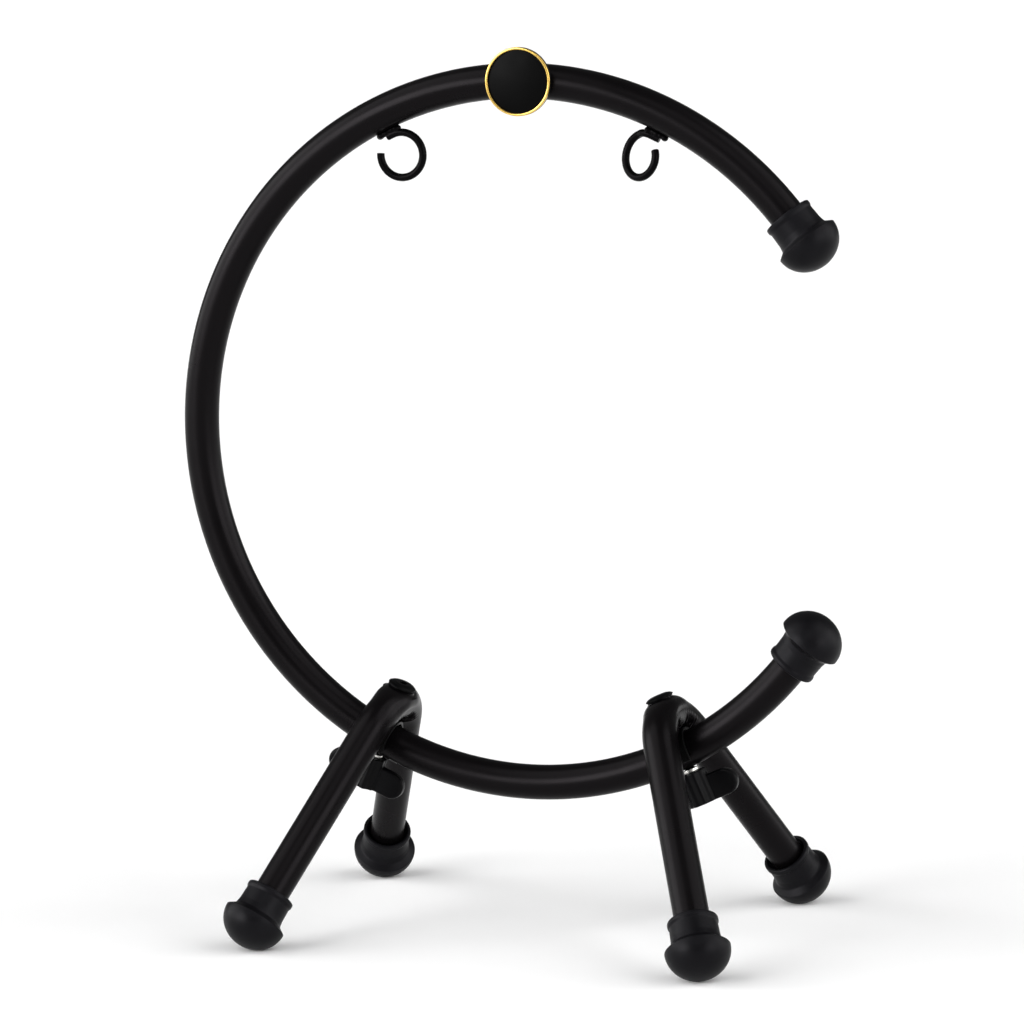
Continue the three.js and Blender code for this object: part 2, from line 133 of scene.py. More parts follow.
# Clamp bolts
BOLT_HOLE_RADIUS = 4.4 * MM
BOLT_RADIUS = 4 * MM
BOLT_LENGTH = 75 * MM
BOLT_PLAIN_LENGTH = 22 * MM
BOLT_PITCH = 1.25 * MM
BOLT_THREAD_DEPTH = 0.6 * MM
BOLT_HEAD_RADIUS = 10.3 * MM
BOLT_HEAD_HEIGHT = 4 * MM
BOLT_SOCKET_FLATS = 5 * MM
BOLT_SOCKET_DEPTH = 2.4 * MM
BOLT_CHAMFER = 0.8 * MM
BOLT_SINK = MM
BOLT_SIDES = 40
HEAD_SEAT = 39.72 * MM

# Wing nuts
COLLAR_TOP = -13.16 * MM
COLLAR_FLANGE_HEIGHT = 2.2 * MM
COLLAR_LENGTH = 18 * MM
COLLAR_FLANGE_RADIUS = 6.25 * MM
COLLAR_BODY_RADIUS = 5.5 * MM
COLLAR_BORE_RADIUS = 4.3 * MM
HUB_TOP = -15.66 * MM
HUB_BOTTOM = -39.86 * MM
HUB_RADIUS = 10.6 * MM
HUB_FLUTE_DEPTH = 1.1 * MM
HUB_FLUTES = 8
HUB_SIDES = 160
HUB_EASE = 0.9 * MM
WING_REACH = 30.5 * MM
WING_END_RADIUS = 9.5 * MM
WING_THICKNESS = 7 * MM
WING_EASE = 1.7 * MM
NUT_VOXEL = 0.42 * MM
NUT_SMOOTHING = 6

# Hooks
HOOK_ANGLE = math.radians(24.4)
HOOK_ROD_RADIUS = 2.75 * MM
HOOK_LOOP_RADIUS = 16 * MM
HOOK_STANDOFF = 1.7 * MM
HOOK_STEPS = 150
HOOK_TWIST_SHARE = 0.14
HOOK_VOXEL = 0.3 * MM
HOOK_SMOOTHING = 2
WELD_BEAD_RADIUS = 2.5 * MM
WELD_BEADS = 9
WELD_BITE = 0.1 * MM

# Badge, with its heights taken from the tube's axis
BADGE_ANGLE = math.radians(88.95)
BADGE_RADIUS = 24 * MM
BADGE_RIM_INNER = 22.2 * MM
BADGE_FACE_RADIUS = 21.9 * MM
BADGE_BACK = 13.4 * MM
BADGE_FRONT = 15.1 * MM
BADGE_SEAT = 15.4 * MM
BADGE_RIM_FRONT = 17.6 * MM
BADGE_DOME = 1.9 * MM
BADGE_EDGE = 0.4 * MM
BADGE_BOSS_RADIUS = 13 * MM
BADGE_BOSS_DEPTH = 5 * MM
BADGE_BOSS_GAP = 0.02 * MM
BADGE_SIDES = 160
BADGE_RIM_SIDES = 200
BADGE_FACE_STEPS = 20

# Camera, from the ring's and the legs' outlines in the photograph
CAMERA_AZIMUTH = math.radians(20.22)
CAMERA_ELEVATION = math.radians(7.94)
CAMERA_ROLL = math.radians(-0.96)
CAMERA_DISTANCE = 3.1505
CAMERA_TARGET = Vector((-10.97 * MM, 0, -55.45 * MM))
CAMERA_PIXELS_PER_METRE = 1407.1
PHOTO_WIDTH = 1024
SENSOR_WIDTH = 36
CAMERA_REACH = 200

# Studio: a white floor under a dim surround, which the black coat mirrors
FLOOR_REACH = 60
FLOOR_LEVEL = -0.2 * MM
FLOOR_SHADE = 0.97
SURROUND_STRENGTH = 0.15


class NodeMaker:
    """Adds nodes to a tree. A value may be a number, a vector, or another node's output."""

    def __init__(self, tree):
        self.tree = tree

    def feed(self, socket, value):
        if isinstance(value, bpy.types.NodeSocket):
            self.tree.links.new(value, socket)
        else:
            socket.default_value = value

    def add(self, kind, inputs=None, **settings):
        made = self.tree.nodes.new(kind)
        for key, value in settings.items():
            setattr(made, key, value)
        for key, value in (inputs or {}).items():
            self.feed(made.inputs[key], value)
        return made

    def math(self, operation, *values):
        made = self.add("ShaderNodeMath", operation=operation)
        for socket, value in zip(made.inputs, values):
            self.feed(socket, value)
        return made.outputs[0]

    def plus(self, first, second):
        return self.math("ADD", first, second)

    def minus(self, first, second):
        return self.math("SUBTRACT", first, second)

    def times(self, first, second):
        return self.math("MULTIPLY", first, second)

    def ramp(self, value, low, high, start=0.0, end=1.0):
        given = {"Value": value, "From Min": low, "From Max": high, "To Min": start, "To Max": end}
        made = self.add("ShaderNodeMapRange", given, interpolation_type="SMOOTHSTEP")
        return made.outputs["Result"]


def size_tree(name, sizes):
    """A Geometry Nodes tree whose inputs are the piece's named sizes."""
    tree = bpy.data.node_groups.new(name, "GeometryNodeTree")
    for size, kind in sizes.items():
        tree.interface.new_socket(size, in_out="INPUT", socket_type=kind)
    tree.interface.new_socket("Geometry", in_out="OUTPUT", socket_type="NodeSocketGeometry")
    make = NodeMaker(tree)
    return tree, make, make.add("NodeGroupInput").outputs


def close_tree(make, geometry, finish):
    real = make.add("GeometryNodeRealizeInstances", {"Geometry": geometry})
    dressed = make.add("GeometryNodeSetMaterial", {"Geometry": real.outputs[0], "Material": finish})
    make.add("NodeGroupOutput", {"Geometry": dressed.outputs[0]})


def evaluated_mesh(holder, name):
    """The holder's mesh with its modifiers applied; the holder goes."""
    bpy.context.view_layer.update()
    graph = bpy.context.evaluated_depsgraph_get()
    mesh = bpy.data.meshes.new_from_object(holder.evaluated_get(graph), depsgraph=graph)
    mesh.name = name
    holder.modifiers.clear()
    bpy.data.objects.remove(holder)
    return mesh


def holder_of(mesh):
    holder = bpy.data.objects.new(mesh.name + "_holder", mesh)
    bpy.context.scene.collection.objects.link(holder)
    return holder


def grown_mesh(tree, name, sizes):
    holder = holder_of(bpy.data.meshes.new(name))
    modifier = holder.modifiers.new(name, "NODES")
    modifier.node_group = tree
    for item in tree.interface.items_tree:
        if item.in_out == "INPUT":
            modifier[item.identifier] = sizes[item.name]
    return evaluated_mesh(holder, name)


def moved(mesh, matrix):
    copy = mesh.copy()
    copy.transform(matrix)
    return copy


def mesh_of(body, name):
    """The body as a mesh with its normals outward; the body goes."""
    bmesh.ops.recalc_face_normals(body, faces=body.faces)
    mesh = bpy.data.meshes.new(name)
    body.to_mesh(mesh)
    body.free()
    return mesh


def joined(name, *meshes):
    body = bmesh.new()
    for mesh in meshes:
        body.from_mesh(mesh)
    return mesh_of(body, name)


def combined(mesh, operation, *tools):
    """The mesh after a boolean with each tool in turn."""
    holder = holder_of(mesh)
    partners = [holder_of(tool) for tool in tools]
    for partner in partners:
        modifier = holder.modifiers.new("combine", "BOOLEAN")
        modifier.operation = operation
        modifier.solver = "EXACT"
        modifier.object = partner
    result = evaluated_mesh(holder, mesh.name + " cut")
    for partner in partners:
        bpy.data.objects.remove(partner)
    return result


def cut(mesh, *cutters):
    return combined(mesh, "DIFFERENCE", *cutters)


def weld_slivers(mesh):
    """Closes the hair-thin faces, and drops the paired ones, that booleans leave along their cuts."""
    body = bmesh.new()
    body.from_mesh(mesh)
    bmesh.ops.remove_doubles(body, verts=body.verts, dist=SLIVER)
    many_sided = [face for face in body.faces if len(face.verts) > 4]
    bmesh.ops.triangulate(body, faces=many_sided)
    bmesh.ops.dissolve_degenerate(body, edges=body.edges, dist=SLIVER)
    body.verts.index_update()
    by_corners = {}
    for face in body.faces:
        by_corners.setdefault(frozenset(vert.index for vert in face.verts), []).append(face)
    paired = [face for faces in by_corners.values() if len(faces) > 1 for face in faces]
    bmesh.ops.delete(body, geom=paired, context="FACES")
    body.to_mesh(mesh)
    body.free()


def fused(name, voxel, smoothing, *meshes):
    """Several closed bodies melted into one skin with soft inner corners."""
    holder = holder_of(joined(name, *meshes))
    remesh = holder.modifiers.new("melt", "REMESH")
    remesh.mode = "VOXEL"
    remesh.voxel_size = voxel
    smooth = holder.modifiers.new("ease", "SMOOTH")
    smooth.factor = 0.5
    smooth.iterations = smoothing
    return evaluated_mesh(holder, name)


def rounded(corners):
    """Points of a profile whose corners are (radius, height, fillet)."""
    points = []
    for i, (r, z, fillet) in enumerate(corners):
        corner = Vector((r, z))
        if fillet == 0 or i in (0, len(corners) - 1):
            points.append(corner)
            continue
        before = (Vector(corners[i - 1][:2]) - corner).normalized()
        after = (Vector(corners[i + 1][:2]) - corner).normalized()
        opening = before.angle(after)
        reach = fillet / math.tan(opening / 2)
        middle = corner + (before + after).normalized() * (fillet / math.sin(opening / 2))
        start = corner + before * reach - middle
        end = corner + after * reach - middle
        turn = start.angle_signed(end)
        for step in range(FILLET_STEPS + 1):
            angle = turn * step / FILLET_STEPS
            swung = Vector((
                start.x * math.cos(angle) + start.y * math.sin(angle),
                start.y * math.cos(angle) - start.x * math.sin(angle),
            ))
            points.append(middle + swung)
    return points


def turned(name, points, segments):
    """Closed body of revolution about +Z. The profile ends on the axis at both ends, or meets itself."""
    body = bmesh.new()
    loops = []
    closed = (points[0] - points[-1]).length < TINY
    for radius, height in points[:-1] if closed else points:
        if radius < TINY:
            loops.append([body.verts.new((0, 0, height))])
            continue
        ring = []
        for i in range(segments):
            turn = 2 * math.pi * i / segments
            ring.append(body.verts.new((radius * math.cos(turn), radius * math.sin(turn), height)))
        loops.append(ring)
    pairs = list(zip(loops, loops[1:]))
    if closed:
        pairs.append((loops[-1], loops[0]))
    for low, high in pairs:
        for i in range(segments):
            k = (i + 1) % segments
            corners = [low[i % len(low)], low[k % len(low)], high[k % len(high)], high[i % len(high)]]
            body.faces.new(list(dict.fromkeys(corners)))
    return mesh_of(body, name)


def layered(name, outlines):
    """Closed body from outlines of equal count, given as lists of 3-D points, with flat ends."""
    body = bmesh.new()
    loops = [[body.verts.new(point) for point in outline] for outline in outlines]
    for low, high in zip(loops, loops[1:]):
        for i in range(len(low)):
            k = (i + 1) % len(low)
            body.faces.new((low[i], low[k], high[k], high[i]))
    body.faces.new(loops[0])
    body.faces.new(loops[-1])
    return mesh_of(body, name)


def rod_cutter(name, radius, low, high):
    corners = ((0, low), (radius, low), (radius, high), (0, high))
    return turned(name, [Vector(corner) for corner in corners], CUTTER_SIDES)


def rounding_rows(length, fillet, steps=4):
    """(height, inset) rows of a body of this length whose two ends are rounded over."""
    low = []
    for step in range(steps, -1, -1):
        turn = math.pi / 2 * step / steps
        low.append((fillet * (1 - math.sin(turn)), fillet * (1 - math.cos(turn))))
    return low + [(length - height, inset) for height, inset in reversed(low)]


def publish(name, mesh, finish, body, nodes, crease=40):
    """Puts a finished mesh in the scene as the piece that stands for these nodes."""
    weld_slivers(mesh)
    mesh.materials.clear()
    mesh.materials.append(finish)
    mesh.shade_smooth()
    mesh.set_sharp_from_angle(angle=math.radians(crease))
    piece = bpy.data.objects.new(name, mesh)
    mesh.name = name
    bpy.context.scene.collection.objects.link(piece)
    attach(piece, body)
    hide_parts(*nodes)


def placed_along(origin, direction):
    """Matrix that takes +Z to this direction, keeping +Y near the world's Y."""
    up = Vector(direction).normalized()
    side = Vector((0, 1, 0)).cross(up)
    side = side.normalized() if side.length > TINY else Vector((1, 0, 0))
    ahead = up.cross(side)
    basis = Matrix((side, ahead, up)).transposed().to_4x4()
    return Matrix.Translation(origin) @ basis


# The frame the joints give: the clamps' lean and the ring's centre
nut_joints = {joint["child"]: joint for joint in frame["joints"] if joint["type"] == "hinge"}
left_pin = Vector(nut_joints["left_nut"]["pos_m"])
right_pin = Vector(nut_joints["right_nut"]["pos_m"])
left_axis = Vector(nut_joints["left_nut"]["axis"])
CLAMP_LEAN = math.atan2(abs(left_axis.x), abs(left_axis.z))
left_clamp = left_pin - left_axis * NUT_PIN_DEPTH
ring_height = left_clamp.z + RING_RADIUS * math.cos(CLAMP_ANGLE)
RING_CENTRE = Vector(((left_pin.x + right_pin.x) / 2, 0, ring_height))

# Stands a bent bar in the ring's plane with its opening towards +X
stood_up = Matrix(((0, 0, -1, 0), (-1, 0, 0, 0), (0, 1, 0, 0), (0, 0, 0, 1)))
RING_PLACE = Matrix.Translation(RING_CENTRE) @ stood_up


def ring_point(angle, radius=RING_RADIUS):
    """Point on the ring's plane; the angle runs from +X towards +Z."""
    return RING_CENTRE + Vector((radius * math.cos(angle), 0, radius * math.sin(angle)))


def clamp_matrix(side):
    """Origin in the tube's middle under one leg, +Z up along the bolt."""
    spot = ring_point(-math.pi / 2 + side * CLAMP_ANGLE)
    return Matrix.Translation(spot) @ Matrix.Rotation(-side * CLAMP_LEAN, 4, "Y")


def hook_matrix(side):
    """Origin in the loop's middle, +Z towards the tube."""
    stand = RING_RADIUS - TUBE_RADIUS - HOOK_STANDOFF - HOOK_ROD_RADIUS - HOOK_LOOP_RADIUS
    lean = Matrix.Rotation(side * HOOK_ANGLE, 4, "Y")
    return Matrix.Translation(ring_point(math.pi / 2 - side * HOOK_ANGLE, stand)) @ lean


# Materials
def fresh_material(name, colour, roughness, specular=0.5, metallic=0.0, tint=(1, 1, 1)):
    finish = bpy.data.materials.new(name)
    finish.use_nodes = True
    tree = finish.node_tree
    tree.nodes.clear()
    make = NodeMaker(tree)
    shader = make.add("ShaderNodeBsdfPrincipled", {
        "Base Color": (*colour, 1),
        "Roughness": roughness,
        "Specular IOR Level": specular,
        "Specular Tint": (*tint, 1),
        "Metallic": metallic,
    })
    output = make.add("ShaderNodeOutputMaterial")
    tree.links.new(shader.outputs[0], output.inputs["Surface"])
    place = make.add("ShaderNodeTexCoord").outputs["Object"]
    return finish, make, shader, place


def add_bump(make, shader, heights):
    """Chains bumps; each is (height socket, strength, distance)."""
    normal = None
    for height, strength, distance in heights:
        bump = make.add("ShaderNodeBump", {"Height": height, "Strength": strength, "Distance": distance})
        if normal is not None:
            make.feed(bump.inputs["Normal"], normal)
        normal = bump.outputs[0]
    make.feed(shader.inputs["Normal"], normal)


def noise(make, place, scale, detail=4.0, rough=0.5):
    given = {"Vector": place, "Scale": scale, "Detail": detail, "Roughness": rough}
    return make.add("ShaderNodeTexNoise", given).outputs["Fac"]


def blended(make, share, colour, first, second):
    """The colour times a number that runs from first to second with the share."""
    mix = make.add("ShaderNodeMix", {"Factor": share}, data_type="RGBA")
    make.feed(mix.inputs[6], (*[channel * first for channel in colour], 1))
    make.feed(mix.inputs[7], (*[channel * second for channel in colour], 1))
    return mix.outputs[2]


def powder_coat(name, colour, roughness, grain, specular, tint):
    """Powder coat: a fine orange peel, uneven gloss, a few polished rub marks and dust specks."""
    finish, make, shader, place = fresh_material(name, colour, roughness, specular, 0.0, tint)
    peel = noise(make, place, 900.0, 2.0)
    swell = noise(make, place, 160.0, 2.0)
    patch = noise(make, place, 28.0, 4.0)
    rough = make.ramp(patch, 0.3, 0.7, roughness - 0.035, roughness + 0.04)
    rub = make.ramp(noise(make, place, 60.0, 6.0, 0.65), 0.66, 0.8)
    make.feed(shader.inputs["Roughness"], make.minus(rough, make.times(rub, 0.05)))
    speck = make.add("ShaderNodeTexVoronoi", {"Vector": place, "Scale": 420.0})
    dust = make.ramp(speck.outputs["Distance"], 0.05, 0.1, 1.0, 0.0)
    sparse = make.ramp(noise(make, place, 75.0, 1.0), 0.6, 0.66)
    shade = make.times(make.times(dust, sparse), 0.25)
    make.feed(shader.inputs["Base Color"], blended(make, shade, colour, 1.0, 2.2))
    add_bump(make, shader, [(swell, 0.12, 0.2 * MM), (peel, grain, 0.08 * MM)])
    return finish


def moulded_rubber(name, colour, roughness, specular, tint):
    """Rubber: matt, faintly bloomed, with mould grain and small scuffs."""
    finish, make, shader, place = fresh_material(name, colour, roughness, specular, 0.0, tint)
    bloom = make.ramp(noise(make, place, 45.0, 5.0, 0.6), 0.35, 0.75)
    make.feed(shader.inputs["Base Color"], blended(make, bloom, colour, 0.85, 1.25))
    rough = make.plus(make.times(bloom, 0.08), roughness - 0.04)
    make.feed(shader.inputs["Roughness"], rough)
    grain = noise(make, place, 1400.0, 2.0)
    scuff = make.ramp(noise(make, place, 170.0, 8.0, 0.7), 0.6, 0.75)
    add_bump(make, shader, [(grain, 0.2, 0.06 * MM), (scuff, 0.1, 0.1 * MM)])
    return finish


def plain_coat(name, colour, roughness, grain_scale, grain, metallic=0.0, specular=0.5):
    """Smooth finish with a fine grain, uneven gloss and a few handling marks."""
    finish, make, shader, place = fresh_material(name, colour, roughness, specular, metallic)
    fine = noise(make, place, grain_scale, 3.0)
    patch = noise(make, place, 70.0, 5.0, 0.6)
    make.feed(shader.inputs["Roughness"], make.ramp(patch, 0.3, 0.7, roughness * 0.88, roughness * 1.15))
    mark = make.ramp(noise(make, place, 240.0, 7.0, 0.7), 0.62, 0.74)
    add_bump(make, shader, [(fine, grain, 0.05 * MM), (mark, 0.08, 0.05 * MM)])
    return finish


WARM_SHEEN = (1, 0.92, 0.98)
COOL_SHEEN = (0.96, 0.94, 1)

# Colour, roughness, strength of the grain, specular level and sheen
FRAME_COAT = powder_coat("matt black powder coat", (0.002, 0.0017, 0.0019), 0.3, 0.16, 0.074, WARM_SHEEN)
HOOK_COAT = powder_coat("satin black hook coat", (0.001, 0.001, 0.0011), 0.26, 0.1, 0.042, WARM_SHEEN)

# Colour, roughness, specular level and sheen
TIP_RUBBER = moulded_rubber("black rubber", (0.003, 0.0029, 0.0036), 0.43, 0.088, COOL_SHEEN)

# Colour, roughness, and scale and strength of the grain
SADDLE_LINER = plain_coat("black liner", (0.002, 0.002, 0.002), 0.34, 1200.0, 0.12, specular=0.08)
BOLT_BLACK = plain_coat("black oxide", (0.0014, 0.0014, 0.0016), 0.34, 1500.0, 0.1, specular=0.05)
NUT_PLASTIC = plain_coat(
    "black moulded plastic", (0.0022, 0.0021, 0.0025), 0.33, 1300.0, 0.14, specular=0.066,
)
COLLAR_ZINC = plain_coat("bright zinc", (0.62, 0.61, 0.58), 0.28, 900.0, 0.1, metallic=1.0)
BADGE_BLACK = plain_coat("black badge disc", (0.002, 0.002, 0.002), 0.3, 1200.0, 0.08, specular=0.1)
BADGE_GOLD = plain_coat("gold plate", (0.68, 0.45, 0.11), 0.22, 1100.0, 0.05, metallic=1.0)
BADGE_GLOSS = plain_coat("smooth badge face", (0.001, 0.001, 0.001), 0.34, 500.0, 0.02, specular=0.036)


# Bent tubes
BENT_TUBE_SIZES = {
    "Tube radius": FLOAT,
    "Bend radius": FLOAT,
    "Half angle": FLOAT,
    "Straight": FLOAT,
    "Steps": WHOLE,
    "Sides": WHOLE,
    "Crest depth": FLOAT,
    "Shoulder": FLOAT,
    "Ripple height": FLOAT,
    "Ripple pitch": FLOAT,
    "Ripple half angle": FLOAT,
    "Finish": FINISH,
}


def bent_tube_tree():
    """Solid round bar, one bend with two straight ends, in the YZ plane, the bend's middle at +Z.

    The crest can be pressed flat for a bolt head.
    The bend's inner side can be wrinkled as cold bending leaves it."""
    tree, make, size = size_tree("Bent tube", BENT_TUBE_SIZES)

    # Skin along an arc with straight ends; each point keeps its angle in the bend
    arc = make.times(size["Bend radius"], size["Half angle"])
    reach = make.plus(arc, size["Straight"])
    line = make.add("GeometryNodeCurvePrimitiveLine", {"End": (0, 0, 1)})
    dense = make.add("GeometryNodeResampleCurve", {"Curve": line.outputs[0], "Count": size["Steps"]})
    share = make.add("GeometryNodeSplineParameter").outputs["Factor"]
    station = make.times(make.minus(share, 0.5), make.times(reach, 2.0))
    turn = make.math("DIVIDE", station, size["Bend radius"])
    turn = make.math("MINIMUM", turn, size["Half angle"])
    turn = make.math("MAXIMUM", turn, make.times(size["Half angle"], -1.0))
    run = make.minus(station, make.times(turn, size["Bend radius"]))
    angles = {"Geometry": dense.outputs[0], "Name": "bend_angle", "Value": turn}
    keep = make.add("GeometryNodeStoreNamedAttribute", angles, data_type="FLOAT", domain="POINT")
    sine = make.math("SINE", turn)
    cosine = make.math("COSINE", turn)
    across = make.math("MULTIPLY_ADD", size["Bend radius"], sine, make.times(run, cosine))
    rise = make.minus(make.times(size["Bend radius"], cosine), make.times(run, sine))
    spot = make.add("ShaderNodeCombineXYZ", {"Y": across, "Z": rise})
    path = make.add("GeometryNodeSetPosition", {"Geometry": keep.outputs[0], "Position": spot.outputs[0]})
    girth = {"Resolution": size["Sides"], "Radius": size["Tube radius"]}
    hoop = make.add("GeometryNodeCurvePrimitiveCircle", girth)
    skin = make.add("GeometryNodeCurveToMesh", {"Curve": path.outputs[0], "Profile Curve": hoop.outputs[0]})
    skin.inputs["Fill Caps"].default_value = True

    # Ripples on the inner side, which fade out towards the straights and the middle
    kept = make.add("GeometryNodeInputNamedAttribute", {"Name": "bend_angle"}, data_type="FLOAT").outputs[0]
    radial = {"Y": make.math("SINE", kept), "Z": make.math("COSINE", kept)}
    outward = make.add("ShaderNodeCombineXYZ", radial).outputs[0]
    normal = make.add("GeometryNodeInputNormal").outputs[0]
    pair = {0: normal, 1: outward}
    facing = make.add("ShaderNodeVectorMath", pair, operation="DOT_PRODUCT").outputs["Value"]
    inner = make.ramp(make.times(facing, -1.0), 0.1, 0.6)
    bare = make.math("ABSOLUTE", kept)
    fading = make.times(size["Ripple half angle"], 0.78)
    near = make.ramp(bare, fading, size["Ripple half angle"], 1.0, 0.0)
    clear = make.ramp(bare, 0.12, 0.28)
    inner_radius = make.minus(size["Bend radius"], size["Tube radius"])
    place = make.add("GeometryNodeInputPosition").outputs[0]
    wander = make.add("ShaderNodeTexNoise", {"Vector": place, "Scale": 130.0, "Detail": 2.0}).outputs["Fac"]
    phase = make.math("DIVIDE", make.times(kept, inner_radius), size["Ripple pitch"])
    phase = make.plus(make.times(phase, 2 * math.pi), make.times(wander, 4.0))
    ridge = make.math("POWER", make.math("MULTIPLY_ADD", make.math("SINE", phase), 0.5, 0.5), 2.0)
    wave = make.minus(ridge, 0.6)
    weight = make.times(make.times(inner, near), clear)
    lift = make.times(make.times(wave, weight), size["Ripple height"])

    # Shoulders that bulge beside the crest
    crown = make.math("MAXIMUM", facing, 0.0)
    flank = make.times(make.times(crown, make.minus(1.0, crown)), 4.0)
    distance = make.times(bare, size["Bend radius"])
    middle = make.ramp(distance, LEG_SHOULDER_START, LEG_SHOULDER_END, 1.0, 0.0)
    bulge = make.times(make.times(flank, middle), size["Shoulder"])
    outward_step = {0: normal, "Scale": make.plus(lift, bulge)}
    push = make.add("ShaderNodeVectorMath", outward_step, operation="SCALE")
    rippled = make.add("GeometryNodeSetPosition", {"Geometry": skin.outputs[0], "Offset": push.outputs[0]})

    # Crest pressed flat, with a soft edge
    parts = make.add("ShaderNodeSeparateXYZ", {0: make.add("GeometryNodeInputPosition").outputs[0]}).outputs
    top = make.plus(size["Bend radius"], size["Tube radius"])
    seat = make.minus(top, size["Crest depth"])
    soft = make.math("MULTIPLY_ADD", size["Crest depth"], LEG_CREST_SOFTNESS, 0.01 * MM)
    pressed = make.math("SMOOTH_MIN", parts[2], seat, soft)
    high = make.math("GREATER_THAN", parts[2], make.minus(seat, size["Crest depth"]))
    flat = make.plus(parts[2], make.times(high, make.minus(pressed, parts[2])))
    level = make.add("ShaderNodeCombineXYZ", {"X": parts[0], "Y": parts[1], "Z": flat}).outputs[0]
    done = make.add("GeometryNodeSetPosition", {"Geometry": rippled.outputs[0], "Position": level})
    close_tree(make, done.outputs[0], size["Finish"])
    return tree


BENT_TUBE = bent_tube_tree()


def bent_tube(name, radius, bend, half, straight, steps, sides, crest=0.0, shoulder=0.0, ripple=0.0):
    return grown_mesh(BENT_TUBE, name, {
        "Tube radius": radius,
        "Bend radius": bend,
        "Half angle": half,
        "Straight": straight,
        "Steps": steps,
        "Sides": sides,
        "Crest depth": crest,
        "Shoulder": shoulder,
        "Ripple height": ripple,
        "Ripple pitch": RIPPLE_PITCH,
        "Ripple half angle": RIPPLE_HALF_ANGLE,
        "Finish": FRAME_COAT,
    })


def ring_tube():
    half = math.pi - RING_MOUTH_ANGLE
    bar = bent_tube("ring bar", TUBE_RADIUS, RING_RADIUS, half, TUBE_IN_TIP, RING_STEPS, TUBE_SIDES)
    hollow = bent_tube(
        "ring bore", TUBE_RADIUS - TUBE_WALL, RING_RADIUS, half, TUBE_IN_TIP + MM,
        RING_BORE_STEPS, BORE_SIDES,
    )
    reach = 1.4 * TUBE_RADIUS
    drill = rod_cutter("ring drill", BOLT_HOLE_RADIUS, -reach, reach)
    drills = [moved(drill, clamp_matrix(side)) for side in (-1, 1)]
    return cut(moved(bar, RING_PLACE), moved(hollow, RING_PLACE), *drills)


def ring_core(name, radius):
    """The ring's left part and top as a solid bar of another radius, to cut what sits on it."""
    bar = bent_tube(name, radius, RING_RADIUS, CORE_HALF_ANGLE, MM, CORE_STEPS, TUBE_SIDES)
    return moved(bar, RING_PLACE)


def leg_tube():
    straight = LEG_STRAIGHT - TIP_RIM_LENGTH + TUBE_IN_TIP
    bar = bent_tube(
        "leg bar", TUBE_RADIUS, LEG_BEND_RADIUS, LEG_HALF_ANGLE_OF_BEND, straight, LEG_STEPS, TUBE_SIDES,
        LEG_CREST_DEPTH, LEG_SHOULDER, RIPPLE_HEIGHT,
    )
    hollow = bent_tube(
        "leg bore", TUBE_RADIUS - TUBE_WALL, LEG_BEND_RADIUS, LEG_HALF_ANGLE_OF_BEND, straight + MM,
        LEG_BORE_STEPS, BORE_SIDES,
    )
    crest = LEG_BEND_RADIUS + TUBE_RADIUS - LEG_CREST_DEPTH
    seat = rod_cutter("bent-in wall", LEG_SEAT_RADIUS, crest - TUBE_WALL, crest - CREST_SKIN)
    drill = rod_cutter("leg drill", BOLT_HOLE_RADIUS, 0, 2 * (LEG_BEND_RADIUS + TUBE_RADIUS))
    base = Vector((SEAT_FLARE_INNER, crest - SEAT_FLARE_DROP))
    flare = [base, Vector((SEAT_FLARE_INNER, crest - CREST_SKIN))]
    for step in range(SEAT_FLARE_STEPS + 1):
        turn = math.pi / 2 * step / SEAT_FLARE_STEPS
        radius = BOLT_HEAD_RADIUS - SEAT_FLARE_TUCK + SEAT_FLARE_REACH * (1 - math.cos(turn))
        flare.append(Vector((radius, crest - CREST_SKIN - SEAT_FLARE_DROP * math.sin(turn))))
    flare.append(base)
    rim = turned("pressed up rim", flare, ROUND_SIDES)
    walled = cut(combined(cut(bar, hollow), "UNION", seat, rim), drill)
    return moved(walled, Matrix.Translation((0, 0, LEG_APEX - LEG_BEND_RADIUS)))


# Rubber tips
def tip_mesh():
    """Cap with its mouth at zero and its dome towards +Z: funnel mouth, lip, collar and flare."""
    neck = TIP_COLLAR_RADIUS
    corners = [
        (0, TIP_SOCKET_DEPTH, 0),
        (TIP_BORE_RADIUS, TIP_SOCKET_DEPTH, 1.2 * MM),
        (TIP_BORE_RADIUS, TIP_FUNNEL_DEPTH, 0.5 * MM),
        (TIP_FUNNEL_RADIUS - 0.6 * MM, TIP_FUNNEL_DEPTH * 0.5, 1.5 * MM),
        (TIP_FUNNEL_RADIUS, 0, 0.5 * MM),
        (TIP_BEAD_RADIUS, 0, 1.2 * MM),
        (TIP_BEAD_RADIUS, 3 * MM, 1.3 * MM),
        (neck - 0.3 * MM, 4.8 * MM, 2.2 * MM),
        (neck, 14 * MM, 4 * MM),
        (neck + 0.8 * MM, 18.9 * MM, 3 * MM),
        (TIP_RIM_RADIUS - 0.6 * MM, 21.9 * MM, 0.25 * MM),
        (TIP_RIM_RADIUS, TIP_RIM_LENGTH, 0.3 * MM),
    ]
    points = rounded(corners)
    for step in range(1, TIP_DOME_STEPS):
        turn = math.pi / 2 * step / TIP_DOME_STEPS
        height = TIP_RIM_LENGTH + TIP_DOME_HEIGHT * math.sin(turn)
        points.append(Vector((TIP_RIM_RADIUS * math.cos(turn), height)))
    points.append(Vector((0, TIP_RIM_LENGTH + TIP_DOME_HEIGHT)))
    return turned("tip", points, TIP_SIDES)


